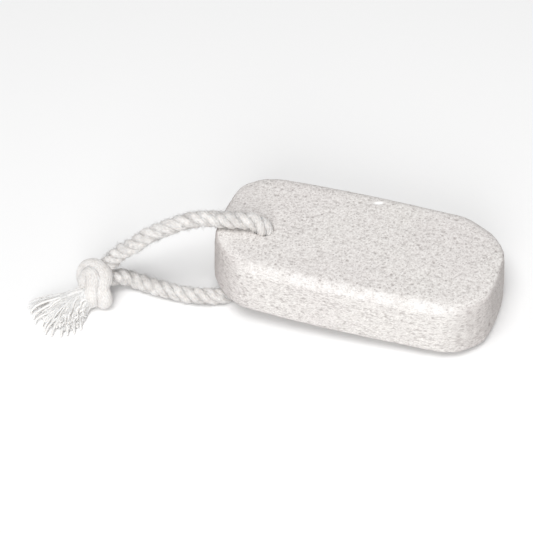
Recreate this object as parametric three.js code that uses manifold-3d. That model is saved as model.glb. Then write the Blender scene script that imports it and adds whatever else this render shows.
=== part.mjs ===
// A pumice bar for the feet, drilled near one end and threaded with a loop of
// soft twisted cotton cord, knotted and frayed at its ends. The bar leans a
// little because one strand of its own cord runs out from under it.
// Millimetres, +Z up, the long way of the bar along X, on a surface at Z = 0.

import * as THREE from 'three';
import { mergeVertices } from 'three/addons/utils/BufferGeometryUtils.js';
import Module from 'manifold-3d';

// the bar, in its own frame: underside on z = 0, centre over the origin
const bodyLength = 92.9; // between the ends, before they bow out
const bodyWidth = 48.3; // between the long sides, before they bow out
const thickness = 20;
const endBow = 3.5; // how far the middle of each end stands out
const sideBow = 1.5;
const wallTaper = 1.1; // how far the walls lean in from bottom to top
const topEdge = 4.2; // radius of the worn top edge
const bottomEdge = 1.6;
const cornerRadii = { backRight: 17.7, backLeft: 11.6, frontLeft: 14.7, frontRight: 12 };
const outlinePoints = 72;

// the hole that the cord is threaded through
const hole = { x: -32.4, y: -4.7, radius: 3.8, wornMouth: 1 };

// the bar leans down towards its back right corner, until that corner and the
// cord under the opposite one both touch the surface
const lean = THREE.MathUtils.degToRad(4.65);
const leanWay = THREE.MathUtils.degToRad(42); // from +X round towards +Y

// the cord, and the clear space kept between the cord and what it touches
const cordDiameter = 5.4;
const clearance = 0.3;
const cordSides = 10;
const cordSteps = 80;

// the line of the cord from the knot, over the bar, down the hole, under the
// bar's corner and back along the surface to the knot; where it lies on the bar
// its centre is about 3 above the face, and 2.8 above the surface under the bar
const cordRoute = [
  [-87, -21.5, 10],
  [-84, -19.5, 13],
  [-80, -18, 17],
  [-75, -17.5, 21],
  [-70, -16, 25],
  [-65, -14, 27.5],
  [-60, -12, 29.5],
  [-55, -10, 30.5],
  [-50, -8, 30.5],
  [-45, -6.5, 30],
  [-40, -5.5, 29.5],
  [-36, -4.5, 29],
  [-34, -4, 28.5],
  [-32, -4, 27],
  [-31, -3.5, 25],
  [-31, -3.5, 22],
  [-31.5, -4, 17],
  [-32, -4.5, 12],
  [-32, -4.5, 8],
  [-32.5, -5, 5.5],
  [-34, -6.5, 3.5],
  [-36, -9, 2.8],
  [-40, -13.5, 2.8],
  [-45, -17.5, 2.8],
  [-51, -19, 2.8],
  [-59, -19.5, 2.8],
  [-67, -19, 2.8],
  [-75, -18, 3],
  [-81, -19, 5],
  [-85, -21.5, 6.5],
];

// the knot is two round lobes with a band between them
const knotLobes = [
  { centre: [-89.6, -23.4, 8.2], radii: [6.0, 5.8, 6.0] },
  { centre: [-88.3, -26.4, 6.8], radii: [5.6, 6.0, 6.0] },
  { centre: [-86.3, -28.7, 5.4], radii: [5.0, 5.2, 5.2] },
];

// the frayed ends fan out from the knot and come down flat on the surface
const tassel = {
  turn: THREE.MathUtils.degToRad(62), // how far its width is turned from Y
  sections: [
    { centre: [-91.3, -29.8, 5.2], halfWidth: 3.4, halfHeight: 3.2 },
    { centre: [-93.8, -33.2, 4.2], halfWidth: 4.6, halfHeight: 3.2 },
    { centre: [-96.8, -37.2, 3.0], halfWidth: 7.6, halfHeight: 2.7 },
    { centre: [-99.2, -40.6, 2.0], halfWidth: 10.6, halfHeight: 1.8 },
    { centre: [-100.1, -42.4, 1.2], halfWidth: 10.4, halfHeight: 0.9 },
  ],
};

const wasm = await Module();
wasm.setup();

const materials = {
  pumice: new THREE.MeshStandardMaterial({ color: 0xdedbd7, roughness: 0.95, metalness: 0 }),
  cotton: new THREE.MeshStandardMaterial({ color: 0xece8dd, roughness: 0.9, metalness: 0 }),
};

// a closed geometry as a solid that can be cut and joined
function toSolid(geometry) {
  const bare = geometry.clone();
  bare.deleteAttribute('normal');
  bare.deleteAttribute('uv');
  const merged = mergeVertices(bare, 1e-4);
  const corners = merged.index.array;
  const kept = [];
  for (let i = 0; i < corners.length; i += 3) {
    const [a, b, c] = [corners[i], corners[i + 1], corners[i + 2]];
    if (a !== b && b !== c && c !== a) kept.push(a, b, c);
  }
  return new wasm.Manifold(new wasm.Mesh({
    numProp: 3,
    vertProperties: new Float32Array(merged.attributes.position.array),
    triVerts: new Uint32Array(kept),
  }));
}

function toGeometry(solid) {
  const { vertProperties, triVerts } = solid.getMesh();
  const geometry = new THREE.BufferGeometry();
  geometry.setAttribute('position', new THREE.BufferAttribute(vertProperties, 3));
  geometry.setIndex(new THREE.BufferAttribute(triVerts, 1));
  return geometry;
}

// closes a stack of rings, each with the same number of points, given from
// the start to the end and turning to the left about the way they run
function loft(rings) {
  const count = rings[0].length;
  const points = rings.flat();
  const faces = [];
  for (let ring = 0; ring + 1 < rings.length; ring++) {
    for (let i = 0; i < count; i++) {
      const next = (i + 1) % count;
      const [a, b] = [ring * count + i, ring * count + next];
      const [c, d] = [a + count, b + count];
      faces.push(a, b, d, a, d, c);
    }
  }
  const last = (rings.length - 1) * count;
  for (let i = 1; i + 1 < count; i++) {
    faces.push(0, i + 1, i);
    faces.push(last, last + i, last + i + 1);
  }
  const geometry = new THREE.BufferGeometry().setFromPoints(points);
  geometry.setIndex(faces);
  return geometry;
}

// a rounded oblong with a radius for each corner, its sides and ends bowed
// out, as points with the way out from each
function barOutline() {
  const [x, y] = [bodyLength / 2, bodyWidth / 2];
  const { backRight, backLeft, frontLeft, frontRight } = cornerRadii;
  const oblong = new THREE.Shape();
  oblong.absarc(x - backRight, y - backRight, backRight, 0, Math.PI / 2);
  oblong.absarc(-x + backLeft, y - backLeft, backLeft, Math.PI / 2, Math.PI);
  oblong.absarc(-x + frontLeft, -y + frontLeft, frontLeft, Math.PI, 1.5 * Math.PI);
  oblong.absarc(x - frontRight, -y + frontRight, frontRight, 1.5 * Math.PI, 2 * Math.PI);
  oblong.closePath();
  const points = oblong.getSpacedPoints(outlinePoints).slice(0, outlinePoints).map((p) => {
    const [along, across] = [p.x / x, p.y / y];
    return new THREE.Vector2(
      p.x + endBow * Math.sign(along) * (1 - across ** 2) * along ** 6,
      p.y + sideBow * Math.sign(across) * (1 - along ** 2) * across ** 2,
    );
  });
  return points.map((point, i) => {
    const before = points[(i + outlinePoints - 1) % outlinePoints];
    const after = points[(i + 1) % outlinePoints];
    const way = after.clone().sub(before).normalize();
    return { point, out: new THREE.Vector2(way.y, -way.x) };
  });
}

function barGeometry() {
  const outline = barOutline();
  const ringAt = (inset, z) => outline.map(({ point, out }) => {
    const drawnIn = inset + wallTaper * z / thickness;
    return new THREE.Vector3(point.x - out.x * drawnIn, point.y - out.y * drawnIn, z);
  });
  const rings = [];
  const bottomSteps = 3;
  for (let i = 0; i <= bottomSteps; i++) {
    const angle = (i / bottomSteps) * Math.PI / 2;
    rings.push(ringAt(bottomEdge * (1 - Math.sin(angle)), bottomEdge * (1 - Math.cos(angle))));
  }
  const topSteps = 5;
  for (let i = 0; i <= topSteps; i++) {
    const angle = (i / topSteps) * Math.PI / 2;
    const z = thickness - topEdge * (1 - Math.sin(angle));
    rings.push(ringAt(topEdge * (1 - Math.cos(angle)), z));
  }
  return loft(rings);
}

// what the drill and the wear of the cord have taken away
function holeGeometry() {
  const mouth = hole.radius + hole.wornMouth;
  const profile = [new THREE.Vector2(0, -2), new THREE.Vector2(mouth, -2)];
  const steps = 3;
  for (let i = 0; i <= steps; i++) {
    const angle = (i / steps) * Math.PI / 2;
    const wear = hole.wornMouth * (1 - Math.sin(angle));
    profile.push(new THREE.Vector2(hole.radius + wear, hole.wornMouth * (1 - Math.cos(angle))));
  }
  for (let i = 0; i <= steps; i++) {
    const angle = (i / steps) * Math.PI / 2;
    const wear = hole.wornMouth * (1 - Math.cos(angle));
    const z = thickness - hole.wornMouth * (1 - Math.sin(angle));
    profile.push(new THREE.Vector2(hole.radius + wear, z));
  }
  profile.push(new THREE.Vector2(mouth, thickness + 2), new THREE.Vector2(0, thickness + 2));
  return new THREE.LatheGeometry(profile, 28).rotateX(Math.PI / 2).translate(hole.x, hole.y, 0);
}

// the cord, or the room that it needs, which runs on past both ends
function cordGeometry(diameter, past) {
  const corners = [];
  for (let i = 0; i < cordSides; i++) {
    const angle = (i / cordSides) * 2 * Math.PI;
    corners.push(new THREE.Vector2(Math.cos(angle), Math.sin(angle)).multiplyScalar(diameter / 2));
  }
  const points = cordRoute.map((place) => new THREE.Vector3(...place));
  for (const [end, beside] of [[points[0], points[1]], [points.at(-1), points.at(-2)]]) {
    end.addScaledVector(end.clone().sub(beside).normalize(), past);
  }
  const line = new THREE.CatmullRomCurve3(points, false, 'centripetal');
  return new THREE.ExtrudeGeometry(new THREE.Shape(corners), {
    steps: cordSteps,
    extrudePath: line,
  });
}

// the lobes joined, each made larger all round by grow
function knotSolid(grow) {
  const lobes = knotLobes.map(({ centre, radii }) => {
    const lobe = new THREE.SphereGeometry(1, 18, 12);
    lobe.scale(radii[0] + grow, radii[1] + grow, radii[2] + grow);
    return toSolid(lobe.translate(...centre));
  });
  return lobes.reduce((whole, lobe) => whole.add(lobe));
}

function tasselGeometry() {
  const sides = 20;
  const across = new THREE.Vector3(Math.sin(tassel.turn), -Math.cos(tassel.turn), 0);
  const rings = tassel.sections.map(({ centre, halfWidth, halfHeight }) => {
    const ring = [];
    for (let i = 0; i < sides; i++) {
      const angle = (i / sides) * 2 * Math.PI;
      const point = new THREE.Vector3(...centre).addScaledVector(across, halfWidth * Math.cos(angle));
      point.z += halfHeight * Math.sin(angle);
      ring.push(point);
    }
    return ring;
  });
  return loft(rings);
}

function named(name, geometry, material) {
  const mesh = new THREE.Mesh(geometry, material);
  mesh.name = name;
  return mesh;
}

const drilled = toSolid(barGeometry()).subtract(toSolid(holeGeometry()));
const bar = named('pumice_bar', toGeometry(drilled), materials.pumice);

// leaned over, then set down with its box centred over the origin
const leaning = new THREE.Group();
const leanAxis = new THREE.Vector3(-Math.sin(leanWay), Math.cos(leanWay), 0);
leaning.quaternion.setFromAxisAngle(leanAxis, lean);
leaning.add(bar);
leaning.updateMatrixWorld(true);
const box = new THREE.Box3().setFromObject(bar, true);
const middle = box.getCenter(new THREE.Vector3());
leaning.position.set(-middle.x, -middle.y, -box.min.z);

// the cord's ends sit in sockets in the knot, and the fan stops at the knot
const cord = named('cord', cordGeometry(cordDiameter, 0), materials.cotton);
const cordRoom = toSolid(cordGeometry(cordDiameter + 2 * clearance, clearance));
const knot = named('cord_knot', toGeometry(knotSolid(0).subtract(cordRoom)), materials.cotton);
const fan = toSolid(tasselGeometry()).subtract(knotSolid(clearance));
const frayedEnds = named('cord_tassel', toGeometry(fan), materials.cotton);

const part = new THREE.Group();
part.add(leaning, cord, knot, frayedEnds);

export default part;
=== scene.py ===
import math
import random

import bpy
import numpy as np
from mathutils import Matrix, Quaternion, Vector
from mathutils.geometry import interpolate_bezier


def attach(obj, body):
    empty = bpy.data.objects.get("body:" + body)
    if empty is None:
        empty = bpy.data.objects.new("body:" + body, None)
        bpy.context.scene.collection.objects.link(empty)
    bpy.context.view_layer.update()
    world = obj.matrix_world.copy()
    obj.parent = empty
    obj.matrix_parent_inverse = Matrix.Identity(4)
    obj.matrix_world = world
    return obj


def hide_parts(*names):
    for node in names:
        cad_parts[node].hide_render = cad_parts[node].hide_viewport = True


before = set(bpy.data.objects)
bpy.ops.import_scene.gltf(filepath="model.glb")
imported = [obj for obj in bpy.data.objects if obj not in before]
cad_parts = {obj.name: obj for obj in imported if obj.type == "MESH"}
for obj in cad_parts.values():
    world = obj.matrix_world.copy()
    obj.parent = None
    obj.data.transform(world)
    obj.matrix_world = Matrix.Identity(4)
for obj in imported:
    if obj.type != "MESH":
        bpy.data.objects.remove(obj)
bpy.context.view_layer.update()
mm = 0.001

cameraView = {
    "aim": (-31.7, -4.9, 8.0),
    "distance": 554.0,
    "azimuth": 24.16,
    "elevation": 46.58,
    "roll": -7.95,
    "lens": 107.5,
}


def addCamera():
    azimuth = math.radians(cameraView["azimuth"])
    elevation = math.radians(cameraView["elevation"])
    back = Vector((
        math.sin(azimuth) * math.cos(elevation),
        -math.cos(azimuth) * math.cos(elevation),
        math.sin(elevation),
    ))
    bpy.ops.object.camera_add()
    camera = bpy.context.object
    camera.name = "camera"
    camera.location = (Vector(cameraView["aim"]) + back * cameraView["distance"]) * mm
    level = (-back).to_track_quat("-Z", "Y")
    camera.rotation_mode = "QUATERNION"
    camera.rotation_quaternion = level @ Quaternion((0, 0, 1), math.radians(cameraView["roll"]))
    camera.data.lens = cameraView["lens"]
    camera.data.clip_start = 0.01
    bpy.context.scene.camera = camera
    # the ways right, up and towards the eye, in which the knot is shaped
    turn = camera.rotation_quaternion
    return [turn @ Vector(axis) for axis in ((1, 0, 0), (0, 1, 0), (0, 0, 1))]


def plainMaterial(name, colour, roughness):
    material = bpy.data.materials.new(name)
    material.use_nodes = True
    shader = material.node_tree.nodes["Principled BSDF"]
    shader.inputs["Base Color"].default_value = (*colour, 1)
    shader.inputs["Roughness"].default_value = roughness
    return material


def addFloor():
    bpy.ops.mesh.primitive_plane_add(size=6, location=(0, 0, 0))
    floor = bpy.context.object
    floor.name = "floor"
    floor.data.materials.append(plainMaterial("palePaper", (0.97, 0.97, 0.97), 0.9))


lamps = {
    "key": {"place": (0.0, -0.34, 1.12), "size": 0.75, "power": 7.6},
    "fill": {"place": (0.22, -1.05, 0.55), "size": 0.7, "power": 5.6},
    "sky": 0.38,
}


def addLight():
    for name in ("key", "fill"):
        lamp = lamps[name]
        bpy.ops.object.light_add(type="AREA", location=lamp["place"])
        light = bpy.context.object
        light.name = name + "Light"
        light.data.shape = "DISK"
        light.data.size = lamp["size"]
        light.data.energy = lamp["power"]
        aim = Vector((-0.02, -0.01, 0.01)) - light.location
        light.rotation_euler = aim.to_track_quat("-Z", "Y").to_euler()
    world = bpy.data.worlds.new("softRoom")
    world.use_nodes = True
    world.node_tree.nodes["Background"].inputs["Color"].default_value = (1, 1, 1, 1)
    world.node_tree.nodes["Background"].inputs["Strength"].default_value = lamps["sky"]
    bpy.context.scene.world = world
    bpy.context.scene.view_settings.view_transform = "Standard"


bpy.ops.object.select_all(action="DESELECT")
toRight, toTop, toEye = addCamera()
addFloor()
addLight()
print("camera, floor and light are in")


def smoothLine(points, step):
    # through every point, then evened out to short equal steps
    fine = []
    last = len(points) - 1
    for i in range(last):
        before, here = points[max(i - 1, 0)], points[i]
        there, after = points[i + 1], points[min(i + 2, last)]
        third = (there - here).length / 3
        leaving = here + (there - before).normalized() * third
        arriving = there - (after - here).normalized() * third
        fine += interpolate_bezier(here, leaving, arriving, there, 24)[:-1]
    fine.append(points[last])
    fine = np.array([tuple(p) for p in fine])
    along = np.concatenate([[0], np.cumsum(np.linalg.norm(np.diff(fine, axis=0), axis=1))])
    count = max(2, int(round(along[-1] / step)) + 1)
    places = np.linspace(0, along[-1], count)
    return np.column_stack([np.interp(places, along, fine[:, axis]) for axis in range(3)])


def unit(vectors):
    return vectors / np.linalg.norm(vectors, axis=-1, keepdims=True)


def carriedFrames(line):
    tangents = unit(np.gradient(line, axis=0))
    side = np.cross(tangents[0], (0.31, 0.17, 0.93))
    sides = []
    for tangent in tangents:
        side = unit(side - tangent * np.dot(side, tangent))
        sides.append(side)
    sides = np.array(sides)
    return tangents, sides, np.cross(tangents, sides)


def lengthAlong(line):
    return np.concatenate([[0], np.cumsum(np.linalg.norm(np.diff(line, axis=0), axis=1))])


class TubeStack:
    # closed tubes gathered into one mesh, with a UV of turns round by mm along
    def __init__(self):
        self.points, self.faces, self.uvs, self.count = [], [], [], 0

    def add(self, line, radius, sides, ridges=0, ridgeDepth=0.0, ridgeTurn=0.0, knobs=0.0, squeeze=None):
        line = np.asarray(line)
        tangents, side, up = carriedFrames(line)
        along = lengthAlong(line)
        radius = np.broadcast_to(radius, (len(line),))
        angle = np.arange(sides) / sides * 2 * math.pi
        rounds = np.ones((len(line), sides))
        if ridges:
            phase = ridges * (angle[None, :] + ridgeTurn * along[:, None] / mm) / 2
            rounds = 1 - ridgeDepth * (1 - np.abs(np.cos(phase))) ** 1.4
        if knobs:
            a, s = angle[None, :], along[:, None] / mm
            rounds = rounds + knobs * (
                np.sin(5 * a + 2.9 * s)
                + np.sin(7 * a - 4.3 * s + 1) * np.sin(1.3 * s)
                + np.sin(2 * a + 6.1 * s)
            )
        reach = radius[:, None] * rounds
        ring = line[:, None, :] + reach[:, :, None] * (
            np.cos(angle)[None, :, None] * side[:, None, :]
            + np.sin(angle)[None, :, None] * up[:, None, :]
        )
        if squeeze is not None:
            ring = squeeze(ring)
        rings = len(line)
        points = ring.reshape(-1, 3)
        ends = np.array([
            line[0] - tangents[0] * radius[0] * 0.3,
            line[-1] + tangents[-1] * radius[-1] * 0.3,
        ])
        start = self.count
        row = np.arange(rings - 1)[:, None] * sides
        column = np.arange(sides)[None, :]
        after = (column + 1) % sides
        quads = np.stack([row + column, row + after, row + sides + after, row + sides + column], -1)
        self.faces += (quads.reshape(-1, 4) + start).tolist()
        u = np.stack([column, column + 1, column + 1, column], -1) / sides + np.zeros((rings - 1, 1, 1))
        v = np.stack([along[:-1], along[:-1], along[1:], along[1:]], -1)[:, None, :] / mm
        v = v + np.zeros((1, sides, 1))
        self.uvs += np.stack([u, v], -1).reshape(-1, 2).tolist()
        first, last = start + len(points), start + len(points) + 1
        for i in range(sides):
            j = (i + 1) % sides
            self.faces.append([first, start + j, start + i])
            self.faces.append([last, start + (rings - 1) * sides + i, start + (rings - 1) * sides + j])
            self.uvs += [[i / sides, 0]] * 3 + [[i / sides, along[-1] / mm]] * 3
        self.points += [points, ends]
        self.count += len(points) + 2

    def make(self, name, material):
        mesh = bpy.data.meshes.new(name)
        mesh.from_pydata(np.concatenate(self.points).tolist(), [], self.faces)
        layer = mesh.uv_layers.new(name="yarn")
        layer.data.foreach_set("uv", np.array(self.uvs, dtype=np.float32).ravel())
        mesh.polygons.foreach_set("use_smooth", [True] * len(mesh.polygons))
        mesh.materials.append(material)
        made = bpy.data.objects.new(name, mesh)
        bpy.context.collection.objects.link(made)
        return made


# where the cord comes out of the hole, above and below
mouthAbove, mouthBelow = (-32, -4, 27), (-32.5, -5, 5.5)

cottonCord = {
    "diameter": 5.8,
    "strands": 3,
    "strandRadius": 1.54,
    "strandOut": 1.42,
    "lay": 12.4,
    "yarns": 9,
    "yarnDepth": 0.2,
    "step": 0.3,
    "wobble": 0.08,
    "bunched": 0.12,
    # from the knot over the bar, down the hole, and back under the bar
    "route": [
        (-87, -21.5, 10),
        (-84, -19.5, 13),
        (-80, -18, 17),
        (-75, -17.5, 21),
        (-70, -16, 25),
        (-65, -14, 27.5),
        (-60, -12, 29.5),
        (-55, -10, 30.5),
        (-50, -8, 30.5),
        (-45, -6.5, 30),
        (-40, -5.5, 29.5),
        (-36, -4.5, 29),
        (-34, -4, 28.5),
        (-32, -4, 27),
        (-31, -3.5, 25),
        (-31, -3.5, 22),
        (-31.5, -4, 17),
        (-32, -4.5, 12),
        (-32, -4.5, 8),
        (-32.5, -5, 5.5),
        (-34, -6.5, 3.5),
        (-36, -9, 2.8),
        (-40, -13.5, 2.8),
        (-45, -17.5, 2.8),
        (-51, -19, 2.8),
        (-59, -19.5, 2.8),
        (-67, -19, 2.8),
        (-75, -18, 3),
        (-81, -19, 5),
        (-85, -21.5, 6.5),
    ],
    "splitAfter": 16,  # the route's point in the hole where one strand becomes the other
}


def cottonMaterial(name, shade, light, relief):
    material = bpy.data.materials.new(name)
    material.use_nodes = True
    nodes, links = material.node_tree.nodes, material.node_tree.links
    shader = nodes["Principled BSDF"]
    shader.inputs["Roughness"].default_value = 0.9
    shader.inputs["Specular IOR Level"].default_value = 0.25
    shader.inputs["Sheen Weight"].default_value = 0.35
    shader.inputs["Sheen Roughness"].default_value = 0.5
    shader.inputs["Subsurface Weight"].default_value = 0.35
    shader.inputs["Subsurface Radius"].default_value = (1.0, 0.92, 0.85)
    shader.inputs["Subsurface Scale"].default_value = 0.0012
    uv = nodes.new("ShaderNodeUVMap")
    uv.uv_map = "yarn"
    stretch = nodes.new("ShaderNodeMapping")
    stretch.inputs["Scale"].default_value = (26, 0.9, 1)
    links.new(uv.outputs["UV"], stretch.inputs["Vector"])
    fibre = nodes.new("ShaderNodeTexNoise")
    fibre.inputs["Scale"].default_value = 1.6
    fibre.inputs["Detail"].default_value = 4
    links.new(stretch.outputs["Vector"], fibre.inputs["Vector"])
    place = nodes.new("ShaderNodeTexCoord")
    patch = nodes.new("ShaderNodeTexNoise")
    patch.inputs["Scale"].default_value = 190
    patch.inputs["Detail"].default_value = 3
    links.new(place.outputs["Object"], patch.inputs["Vector"])
    both = nodes.new("ShaderNodeMath")
    both.operation = "MULTIPLY_ADD"
    both.inputs[1].default_value = 0.5
    links.new(fibre.outputs["Fac"], both.inputs[0])
    half = nodes.new("ShaderNodeMath")
    half.operation = "MULTIPLY"
    half.inputs[1].default_value = 0.5
    links.new(patch.outputs["Fac"], half.inputs[0])
    links.new(half.outputs["Value"], both.inputs[2])
    tones = nodes.new("ShaderNodeValToRGB")
    tones.color_ramp.elements[0].position = 0.37
    tones.color_ramp.elements[0].color = (*shade, 1)
    tones.color_ramp.elements[1].position = 0.60
    tones.color_ramp.elements[1].color = (*light, 1)
    links.new(both.outputs["Value"], tones.inputs["Fac"])
    links.new(tones.outputs["Color"], shader.inputs["Base Color"])
    bump = nodes.new("ShaderNodeBump")
    bump.inputs["Strength"].default_value = relief
    bump.inputs["Distance"].default_value = 0.0003
    links.new(fibre.outputs["Fac"], bump.inputs["Height"])
    links.new(bump.outputs["Normal"], shader.inputs["Normal"])
    return material


def strandLines(line, start, full):
    # three strands laid round the cord's own line, starting at a given length
    tangents, side, up = carriedFrames(line)
    along = lengthAlong(line) / mm + start
    for strand in range(cottonCord["strands"]):
        angle = 2 * math.pi * (along / cottonCord["lay"] + strand / cottonCord["strands"])
        out = cottonCord["strandOut"] * mm
        swell = full * (1 + cottonCord["wobble"] * np.sin(along * 0.9 + strand * 2.1))
        yield line + out * swell[:, None] * (
            np.cos(angle)[:, None] * side + np.sin(angle)[:, None] * up
        )


def aboveFloor(ring):
    return np.maximum(ring, (-9, -9, 0.1 * mm))


def layCord(line, name, start, material):
    stack = TubeStack()
    # the cord is bunched up where it turns over the hole's edge
    fromMouth = np.linalg.norm(line - np.array(mouthAbove) * mm, axis=1) / mm
    full = 1 + cottonCord["bunched"] * np.exp(-((fromMouth / 4.5) ** 2))
    for number, strand in enumerate(strandLines(line, start, full)):
        along = lengthAlong(strand) / mm + start
        uneven = 1 + 0.05 * np.sin(along * 1.7 + number * 2.3) + 0.04 * np.sin(along * 0.63 + number)
        stack.add(
            strand,
            cottonCord["strandRadius"] * mm * uneven * full,
            sides=36,
            ridges=cottonCord["yarns"],
            ridgeDepth=cottonCord["yarnDepth"],
            ridgeTurn=-0.42,
            knobs=0.022,
            squeeze=aboveFloor,
        )
    return stack.make(name, material)


def addCords(material):
    route = [Vector(p) * mm for p in cottonCord["route"]]
    whole = smoothLine(route, cottonCord["step"] * mm)
    splitAt = np.array(route[cottonCord["splitAfter"]])
    split = int(np.argmin(np.linalg.norm(whole - splitAt, axis=1)))
    over, under = whole[:split + 2], whole[split - 1:]
    length = lengthAlong(over)[-1] / mm
    upper = layCord(over, "cord_over", 0, material)
    lower = layCord(under, "cord_under", length, material)
    return (upper, over), (lower, under)


looseHairs = {"each mm": 22, "length": 2.6, "radius": 0.055}


def addHairs(lines, material):
    # short loose fibres that stand up from the cord all along it
    chance = random.Random(23)
    stack = TubeStack()
    for line in lines:
        tangents, side, up = carriedFrames(line)
        for i in range(int(looseHairs["each mm"] * lengthAlong(line)[-1] / mm)):
            at = chance.randrange(4, len(line) - 4)
            turn = chance.uniform(0, 2 * math.pi)
            out = math.cos(turn) * side[at] + math.sin(turn) * up[at]
            around = np.cross(tangents[at], out)
            lean, spin = chance.uniform(-1.2, 1.2), chance.uniform(-0.9, 0.9)
            long = looseHairs["length"] * chance.uniform(0.4, 1.0)
            root = line[at] + out * cottonCord["diameter"] * 0.43 * mm
            t = np.linspace(0, 1, 5)[:, None]
            rise = 0.55 * t * (1.3 - t * chance.uniform(0.2, 1.2))
            hair = root + long * mm * (out * rise + tangents[at] * lean * t + around * spin * t ** 1.5)
            hair[:, 2] = np.maximum(hair[:, 2], 0.1 * mm)
            stack.add(hair, looseHairs["radius"] * mm * (1 - 0.6 * t[:, 0]), sides=3)
    return stack.make("cord_hairs", material)


cotton = cottonMaterial("softCotton", (0.66, 0.635, 0.615), (0.87, 0.85, 0.83), 0.9)
(cordOver, overLine), (cordUnder, underLine) = addCords(cotton)
hairs = addHairs((overLine, underLine), cotton)
print("both strands of the cord are laid")

# both strands go through the knot side by side and leave as a tail
knotShape = {
    "centre": (-88.4, -25.9, 7.2),
    "radius": 2.75,
    "yarns": 17,
    "yarnDepth": 0.10,
    # left, up and towards the eye from the knot's centre, from the loop to the tail
    "upperStrand": [
        (-3.4, 6.2, 0.0),
        (-0.6, 4.6, -1.2),
        (2.0, 2.2, -1.4),
        (3.3, 1.2, -0.2),
        (3.7, 3.4, 1.0),
        (2.6, 5.6, 1.2),
        (0.2, 6.2, 1.6),
        (-2.2, 5.2, 2.6),
        (-3.9, 2.6, 3.5),
        (-2.9, -1.2, 4.0),
        (-3.5, -4.4, 2.8),
        (-3.4, -6.1, 0.6),
        (-0.8, -5.2, -1.8),
        (2.2, -3.4, -1.4),
        (4.6, -3.4, -0.6),
    ],
    "lowerStrand": [
        (-4.9, 2.1, -2.5),
        (-1.4, 0.8, -2.8),
        (1.8, -0.6, -1.6),
        (3.2, 0.2, 0.4),
        (2.7, 2.2, 2.4),
        (1.2, 3.4, 3.6),
        (0.1, 1.6, 4.5),
        (0.3, -1.6, 4.2),
        (0.7, -4.4, 2.8),
        (0.9, -5.8, 0.4),
        (2.0, -5.0, -1.6),
        (3.6, -4.6, -1.0),
        (5.0, -4.6, -0.8),
    ],
}


def fromView(left, up, near):
    centre = Vector(knotShape["centre"])
    return (centre - toRight * left + toTop * up + toEye * near) * mm


def addKnot(material):
    stack = TubeStack()
    for name in ("upperStrand", "lowerStrand"):
        line = smoothLine([fromView(*p) for p in knotShape[name]], 0.3 * mm)
        stack.add(
            line,
            knotShape["radius"] * mm,
            sides=60,
            ridges=knotShape["yarns"],
            ridgeDepth=knotShape["yarnDepth"],
            ridgeTurn=0.08,
            knobs=0.008,
            squeeze=aboveFloor,
        )
    return stack.make("knot", material)


knot = addKnot(cotton)
print("the knot is tied")

# yarns that leave the knot together and fan out
frayedEnds = {
    "root": (-90.5, -31.0, 4.5),
    "rootSpread": 3.2,
    # the fan is swept round its root, and reaches less far on its near side
    "sweep": (math.radians(197), math.radians(288)),
    "reach": 17.2,
    "shorter": 0.3,
    "roundedOff": 0.4,
    "body": {
        "count": 320,
        "radius": 0.36,
        "reach": (0.62, 1.02),
        "layers": 3.0,
        "from": 0.0,
        "crimp": 0.07,
    },
    # yarns in the thick bunch on the right are crinkled where they were laid
    "bunch": {
        "count": 64,
        "radius": 0.48,
        "reach": (0.72, 1.06),
        "layers": 5.6,
        "from": 0.55,
        "crimp": 0.46,
    },
    # single yarns that stand out past the edge and droop
    "fingers": {"count": 11, "from": 0.07, "to": 0.9, "past": (1.8, 3.6)},
    "wisps": {"count": 21, "from": -0.07, "to": 0.06, "past": (0.0, 4.3)},
}


def fanTip(share, part, past, height):
    # a tip at a share of the sweep: part of the way to the edge, and past it
    first, last = frayedEnds["sweep"]
    turn = first + share * (last - first)
    edge = frayedEnds["reach"] * (1 - frayedEnds["shorter"] * share - frayedEnds["roundedOff"] * share ** 6)
    out = edge * part + past
    x, y, z = frayedEnds["root"]
    return Vector((x + out * math.cos(turn), y + out * math.sin(turn), height))


def fanYarn(chance, begin, leave, arrive, tip, crimp, steps):
    line = interpolate_bezier(begin * mm, leave * mm, arrive * mm, tip * mm, steps)
    line = np.array([tuple(p) for p in line])
    t = np.linspace(0, 1, steps)
    away = (tip - begin).normalized()
    across = away.cross(Vector((0, 0, 1))).normalized()
    turns = (tip - begin).length / chance.uniform(2.6, 4.4)
    start = chance.uniform(0, 6.3)
    swing = (crimp * mm * np.sin(t * turns * 2 * math.pi + start) * t ** 0.7)[:, None]
    roll = (crimp * mm * np.cos(t * turns * 2 * math.pi + start) * t ** 0.7)[:, None]
    return line + swing * np.array(across) + roll * np.array((0, 0, 1))


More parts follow.
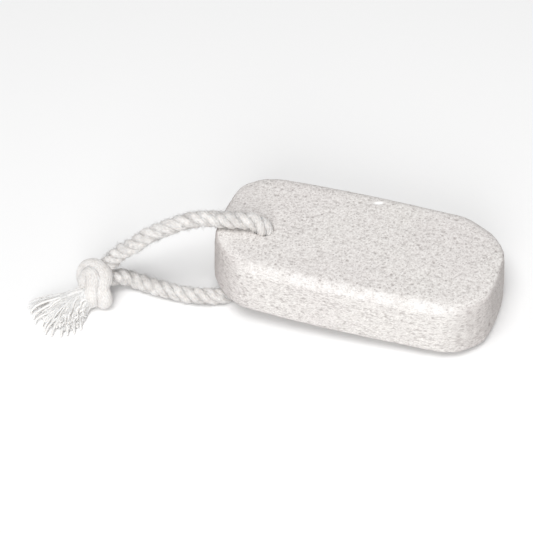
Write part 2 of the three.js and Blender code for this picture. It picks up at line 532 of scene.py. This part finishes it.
def addFrayedEnds(material):
    chance = random.Random(7)
    stack = TubeStack()
    root = Vector(frayedEnds["root"])
    # the way from the knot's tail to the edge, level and square to it
    ahead = Vector((-0.86, -0.48, -0.12)).normalized()
    beside = ahead.cross(Vector((0, 0, 1))).normalized()
    above = beside.cross(ahead)
    droop = Vector((-0.23, 0.97, 0)) * 4.2

    def fromTail():
        turn, far = chance.uniform(0, 2 * math.pi), frayedEnds["rootSpread"] * chance.random() ** 0.5
        spot = root + (beside * math.cos(turn) + above * math.sin(turn)) * far
        return spot - ahead * chance.uniform(0.5, 2.0)

    def addYarn(begin, tip, bow, radius, crimp, steps, sides):
        span = (tip - begin).length
        leave = begin + ahead * span * 0.35 + Vector((0, 0, bow))
        fall = (tip - leave).normalized().lerp(-droop.normalized(), 0.45).normalized()
        arrive = tip - fall * span * 0.32 + Vector((0, 0, bow * 0.8))
        line = fanYarn(chance, begin, leave, arrive, tip, crimp, steps)
        thin = radius * mm * (1 - 0.4 * np.linspace(0, 1, steps) ** 3)
        line[:, 2] = np.maximum(line[:, 2], thin + 0.05 * mm)
        stack.add(line, thin, sides=sides, ridges=3, ridgeDepth=0.22, ridgeTurn=1.8)

    for kind in ("body", "bunch"):
        yarns = frayedEnds[kind]
        for i in range(yarns["count"]):
            share, layer = chance.uniform(yarns["from"], 1), chance.random()
            height = 0.4 + yarns["layers"] * (0.3 + 0.7 * share) * layer * 0.8
            tip = fanTip(share, chance.uniform(*yarns["reach"]), 0, height)
            radius = yarns["radius"] * chance.uniform(0.75, 1.2)
            if kind == "body" and layer < 0.5:
                radius *= 2.7
            crimp = yarns["crimp"] * chance.uniform(0.5, 1.4)
            addYarn(fromTail(), tip, 1.1 * layer, radius, crimp, 26, 8)
    fingers = frayedEnds["fingers"]
    for i in range(fingers["count"]):
        share = fingers["from"] + (fingers["to"] - fingers["from"]) * i / (fingers["count"] - 1)
        tip = fanTip(share + chance.uniform(-0.02, 0.02), 1, chance.uniform(*fingers["past"]), 0.6)
        begin = fromTail()
        leave = begin + ahead * 5
        arrive = tip + droop + Vector((0, 0, 2.4))
        line = fanYarn(chance, begin, leave, arrive, tip, 0.06, 34)
        line[:, 2] = np.maximum(line[:, 2], 0.5 * mm)
        stack.add(line, 0.46 * mm, sides=10, ridges=3, ridgeDepth=0.25, ridgeTurn=1.8)
    wisps = frayedEnds["wisps"]
    for i in range(wisps["count"]):
        share = chance.uniform(wisps["from"], wisps["to"])
        tip = fanTip(share, 1, chance.uniform(*wisps["past"]), chance.uniform(0.5, 2.0))
        addYarn(fromTail(), tip, 0.8, 0.15, 0.03, 26, 6)
    return stack.make("frayed_ends", material)


# a paler, lower-contrast copy of the cotton: painted light that lifts the shade between the frayed yarns
litFrayedCotton = cottonMaterial("litFrayedCotton", (0.82, 0.80, 0.78), (0.93, 0.915, 0.895), 0.3)
tassel = addFrayedEnds(litFrayedCotton)
print("the ends are frayed")

# the bar is made from a copy of the CAD one, with each length in mm
pumiceBar = {
    "lean": math.radians(4.65),
    "leanWay": math.radians(42),
    "grid": 0.44,
    "soften": 14,
    "swell": {"size": 16.0, "depth": 0.45},
    "lump": {"size": 4.0, "depth": 0.14},
    "squareEnds": 0.9,  # how far the top edge stands out where it is less worn
    "hole": {"x": -32.4, "y": -4.7, "drawnIn": 0.9},
    "flat": 0.4,  # how tall the pores are for their width
    "pores": [
        {"size": 1.5, "share": 0.36, "depth": 0.24},
        {"size": 2.7, "share": 0.24, "depth": 0.30},
        {"size": 9.0, "share": 0.085, "depth": 0.6},
    ],
    # a chip out of the back edge, and one large pore in the right end
    "chip": {"place": (1.0, 19.0, 20.0), "half": (2.0, 0.9, 1.2), "turn": math.radians(24), "depth": 0.5},
    "bigPore": {"place": (48.5, -12.0, 6.0), "half": (3.0, 1.1, 0.9), "turn": 0.0, "depth": 0.9},
}


def onlySelect(thing):
    bpy.ops.object.select_all(action="DESELECT")
    thing.select_set(True)
    bpy.context.view_layer.objects.active = thing


def applyAll(thing):
    onlySelect(thing)
    for modifier in list(thing.modifiers):
        bpy.ops.object.modifier_apply(modifier=modifier.name)


def vertexPlaces(thing):
    found = np.empty(len(thing.data.vertices) * 3, dtype=np.float32)
    thing.data.vertices.foreach_get("co", found)
    return found.reshape(-1, 3).astype(float)


def vertexNormals(thing):
    found = np.empty(len(thing.data.vertices) * 3, dtype=np.float32)
    thing.data.vertices.foreach_get("normal", found)
    return found.reshape(-1, 3).astype(float)


def keepValues(thing, name, values):
    kept = thing.data.attributes.new(name, "FLOAT", "POINT")
    kept.data.foreach_set("value", values.astype(np.float32))


def pushIn(thing, name, texture, depth, level, coords=None, group=""):
    push = thing.modifiers.new(name, "DISPLACE")
    push.texture = texture
    push.strength = depth * mm
    push.mid_level = level
    push.vertex_group = group
    if coords is None:
        push.texture_coords = "LOCAL"
    else:
        push.texture_coords = "OBJECT"
        push.texture_coords_object = coords


def softNoise(name, size):
    texture = bpy.data.textures.new(name, "CLOUDS")
    texture.noise_scale = size * mm
    texture.noise_depth = 2
    return texture


def poreTexture(name, size, share):
    texture = bpy.data.textures.new(name, "VORONOI")
    texture.noise_scale = size * mm
    texture.use_color_ramp = True
    ramp = texture.color_ramp
    ramp.elements[0].position = share * 0.35
    ramp.elements[0].color = (0, 0, 0, 1)
    ramp.elements[1].position = share
    ramp.elements[1].color = (1, 1, 1, 1)
    return texture


def nearness(points, spot):
    # 1 at the spot's middle, 0 past its edge
    away = points / mm - np.array(spot["place"])
    turned = np.array(away)
    turned[:, 0] = away[:, 0] * math.cos(spot["turn"]) + away[:, 1] * math.sin(spot["turn"])
    turned[:, 1] = away[:, 1] * math.cos(spot["turn"]) - away[:, 0] * math.sin(spot["turn"])
    return np.clip(1.3 - 1.3 * np.linalg.norm(turned / np.array(spot["half"]), axis=1), 0, 1)


def uprightCopy(node):
    # stood level on the floor and given an even, finer mesh
    bar = node.copy()
    bar.data = node.data.copy()
    bar.name = "pumice"
    bar.parent = None
    bar.matrix_world = Matrix.Identity(4)
    bpy.context.collection.objects.link(bar)
    onlySelect(bar)
    bpy.ops.object.mode_set(mode="EDIT")
    bpy.ops.mesh.select_all(action="SELECT")
    bpy.ops.mesh.remove_doubles(threshold=1e-6)
    bpy.ops.object.mode_set(mode="OBJECT")
    axis = Vector((-math.sin(pumiceBar["leanWay"]), math.cos(pumiceBar["leanWay"]), 0))
    upright = Matrix.Rotation(-pumiceBar["lean"], 4, axis)
    low = min((upright @ vertex.co).z for vertex in bar.data.vertices)
    upright = Matrix.Translation((0, 0, -low)) @ upright
    bar.data.transform(upright)
    grid = bar.modifiers.new("grid", "REMESH")
    grid.mode = "VOXEL"
    grid.voxel_size = pumiceBar["grid"] * mm
    soften = bar.modifiers.new("soften", "SMOOTH")
    soften.iterations = pumiceBar["soften"]
    applyAll(bar)
    return bar, upright


def shapeEdges(bar):
    places, facing = vertexPlaces(bar), vertexNormals(bar)
    level = facing[:, 0] / np.maximum(np.linalg.norm(facing[:, :2], axis=1), 1e-6)
    # the top edge is less worn round the two ends
    square = np.clip(1.15 - np.abs(facing[:, 2] - 0.7) / 0.3, 0, 1)
    square = square * np.clip(np.abs(level) * 1.6 - 0.5, 0, 1)
    outer = np.clip(np.abs(places[:, 0]) / mm / 4 - 9.2, 0, 1)
    places = places + facing * (square * outer * pumiceBar["squareEnds"] * mm)[:, None]
    # the soft top edge of the hole closes up on the cord
    hole = pumiceBar["hole"]
    away = places[:, :2] / mm - np.array((hole["x"], hole["y"]))
    far = np.maximum(np.linalg.norm(away, axis=1), 1e-6)
    close = np.clip((7.5 - far) / 2.5, 0, 1) * np.clip(places[:, 2] / mm / 3 - 5, 0, 1)
    places[:, :2] -= away / far[:, None] * (hole["drawnIn"] * close)[:, None] * mm
    bar.data.vertices.foreach_set("co", places.astype(np.float32).ravel())
    bar.data.update()
    return level


def surfaceShares(bar, level):
    # how far each point is rubbed pale with a painted highlight, lies on an end where painted shade goes,
    # or lies on a wall
    places, facing = vertexPlaces(bar), vertexNormals(bar)
    slope = facing[:, 2]
    # the pale rim is partly real wear and partly a painted highlight, kept to the front top edge where the
    # light falls
    rim = np.clip((slope - 0.2) / 0.3, 0, 1) * np.clip((0.985 - slope) / 0.08, 0, 1)
    front = np.clip(-facing[:, 1] * 3, 0, 1)
    along = places[:, 0] / mm
    middle = np.clip((along + 34) / 16, 0, 1) * np.clip((46 - along) / 14, 0, 1)
    # the walls at both ends, more on the left one, get painted shade where the light falls off
    ends = np.clip(np.abs(level) * 1.5 - 0.35, 0, 1) * np.where(level < 0, 1.5, 1)
    ends = ends * np.clip((0.95 - slope) / 0.15, 0, 1)
    return rim * front * middle, ends, np.clip(1.25 - 1.6 * np.abs(slope), 0, 1)


def pushPores(bar):
    solid = vertexPlaces(bar)
    bpy.ops.object.empty_add()
    poreSpace = bpy.context.object
    poreSpace.scale = (1, 1, pumiceBar["flat"])
    for i, pore in enumerate(pumiceBar["pores"]):
        texture = poreTexture(f"pore{i}", pore["size"], pore["share"])
        pushIn(bar, f"pore{i}", texture, pore["depth"], 1, poreSpace, "rough")
    bpy.context.view_layer.update()
    applyAll(bar)
    bpy.data.objects.remove(poreSpace)
    return np.linalg.norm(vertexPlaces(bar) - solid, axis=1) / mm


def addPumiceBar(material):
    bar, upright = uprightCopy(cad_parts["pumice_bar"])
    level = shapeEdges(bar)
    wornAndLit, ends, wall = surfaceShares(bar, level)
    places, facing = vertexPlaces(bar), vertexNormals(bar)
    rough = bar.vertex_groups.new(name="rough")
    for i, share in enumerate(1 - 0.55 * wornAndLit):
        rough.add([i], float(share), "REPLACE")
    chip = nearness(places, pumiceBar["chip"])
    bigPore = nearness(places, pumiceBar["bigPore"])
    for name in ("swell", "lump"):
        pushIn(bar, name, softNoise(name, pumiceBar[name]["size"]), pumiceBar[name]["depth"], 0.5)
    applyAll(bar)
    sunk = pushPores(bar)
    dent = (chip * pumiceBar["chip"]["depth"] + bigPore * pumiceBar["bigPore"]["depth"]) * mm
    moved = vertexPlaces(bar) - facing * dent[:, None]
    bar.data.vertices.foreach_set("co", moved.astype(np.float32).ravel())
    # how deep each point is sunk, the big pore included, kept to paint shade into the pores
    keepValues(bar, "pore", np.clip(sunk / 0.34, 0, 1) + bigPore)
    keepValues(bar, "wornAndLit", wornAndLit)
    # the chip is painted near white: paler fresh stone and a painted highlight on its rim
    keepValues(bar, "chip", np.clip(chip * 2, 0, 1))
    keepValues(bar, "ends", ends)
    keepValues(bar, "wall", wall)
    bar.vertex_groups.clear()
    bar.data.transform(upright.inverted())
    bar.data.polygons.foreach_set("use_smooth", [True] * len(bar.data.polygons))
    bar.data.materials.clear()
    bar.data.materials.append(material)
    print("pumice has", len(bar.data.polygons), "faces")
    return bar


def pumiceMaterial():
    material = bpy.data.materials.new("pumiceStone")
    material.use_nodes = True
    nodes, links = material.node_tree.nodes, material.node_tree.links
    shader = nodes["Principled BSDF"]
    shader.inputs["Roughness"].default_value = 0.95
    shader.inputs["Specular IOR Level"].default_value = 0.2

    def attribute(name):
        found = nodes.new("ShaderNodeAttribute")
        found.attribute_name = name
        return found.outputs["Fac"]

    def feed(socket, value):
        if isinstance(value, tuple):
            socket.default_value = (*value, 1)
        elif isinstance(value, (int, float)):
            socket.default_value = value
        else:
            links.new(value, socket)

    def mix(amount, first, second):
        node = nodes.new("ShaderNodeMix")
        node.data_type = "RGBA"
        feed(node.inputs["Factor"], amount)
        feed(node.inputs[6], first)
        feed(node.inputs[7], second)
        return node.outputs[2]

    def sums(kind, first, second):
        node = nodes.new("ShaderNodeMath")
        node.operation = kind
        feed(node.inputs[0], first)
        feed(node.inputs[1], second)
        return node.outputs["Value"]

    def between(value, low, high):
        node = nodes.new("ShaderNodeMapRange")
        feed(node.inputs["Value"], value)
        node.inputs["From Min"].default_value = low
        node.inputs["From Max"].default_value = high
        return node.outputs["Result"]

    place = nodes.new("ShaderNodeTexCoord").outputs["Object"]

    def squashed(height):
        node = nodes.new("ShaderNodeMapping")
        node.inputs["Scale"].default_value = (1, 1, height)
        links.new(place, node.inputs["Vector"])
        return node.outputs["Vector"]

    def noise(where, scale, detail):
        node = nodes.new("ShaderNodeTexNoise")
        node.inputs["Scale"].default_value = scale
        node.inputs["Detail"].default_value = detail
        links.new(where, node.inputs["Vector"])
        return node.outputs["Fac"]

    def specks(where, scale, size):
        # round spots, each with a strength of its own
        node = nodes.new("ShaderNodeTexVoronoi")
        node.inputs["Scale"].default_value = scale
        links.new(where, node.inputs["Vector"])
        return sums("MULTIPLY", between(node.outputs["Distance"], size, size * 0.4), node.outputs["Color"])

    broad = noise(place, 34, 2)
    base = mix(between(broad, 0.38, 0.62), (0.78, 0.735, 0.72), (0.835, 0.805, 0.775))
    grain = noise(squashed(3.0), 1450, 2)
    grained = mix(between(grain, 0.36, 0.66), (0.60, 0.57, 0.55), (0.93, 0.915, 0.895))
    textured = mix(0.56, base, grained)
    # dark specks and wall streaks are painted shade in pores too small for the mesh
    fine = specks(squashed(2.8), 1200, 0.40)
    few = specks(squashed(2.4), 430, 0.26)
    streaks = sums("MULTIPLY", between(noise(squashed(4.2), 560, 3), 0.46, 0.37), attribute("wall"))
    marks = sums("MAXIMUM", few, sums("MULTIPLY", streaks, 0.62))
    dark = sums("MAXIMUM", sums("MULTIPLY", fine, 0.85), marks)
    poreShaded = mix(dark, textured, (0.42, 0.385, 0.37))
    # painted shade in the pores, darker where the mesh is sunk deepest
    deepPoreShaded = mix(sums("MULTIPLY", attribute("pore"), 0.75), poreShaded, (0.43, 0.40, 0.385))
    patchy = between(noise(place, 260, 3), 0.40, 0.62)
    # painted shade on the end walls
    endsShaded = mix(sums("MULTIPLY", attribute("ends"), 0.42), deepPoreShaded, (0.41, 0.365, 0.355))
    # the top front rim is painted paler: worn stone and a painted highlight
    rimWearAndHighlight = sums("MULTIPLY", sums("MULTIPLY", attribute("wornAndLit"), patchy), 0.45)
    rimPaleAndHighlit = mix(rimWearAndHighlight, endsShaded, (0.93, 0.925, 0.92))
    # the chip painted near white: fresh stone and a painted highlight
    coloured = mix(attribute("chip"), rimPaleAndHighlit, (0.97, 0.965, 0.955))
    links.new(coloured, shader.inputs["Base Color"])
    height = sums("SUBTRACT", sums("MULTIPLY", grain, 0.5), dark)
    bump = nodes.new("ShaderNodeBump")
    bump.inputs["Strength"].default_value = 0.5
    bump.inputs["Distance"].default_value = 0.00022
    links.new(height, bump.inputs["Height"])
    links.new(bump.outputs["Normal"], shader.inputs["Normal"])
    return material


bar = addPumiceBar(pumiceMaterial())
print("the bar is pored")

for piece, node in ((bar, "pumice_bar"), (cordOver, "cord"), (cordUnder, "cord"),
                    (hairs, "cord"), (knot, "cord_knot"), (tassel, "cord_tassel")):
    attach(piece, "root")
    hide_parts(node)

for piece, line, mouth in ((cordOver, overLine, mouthAbove), (cordUnder, underLine, mouthBelow)):
    [value * mm for value in mouth]
    lengthAlong(line)[-1]
    print(piece.name, "is", round(lengthAlong(line)[-1] / mm, 1), "mm long")
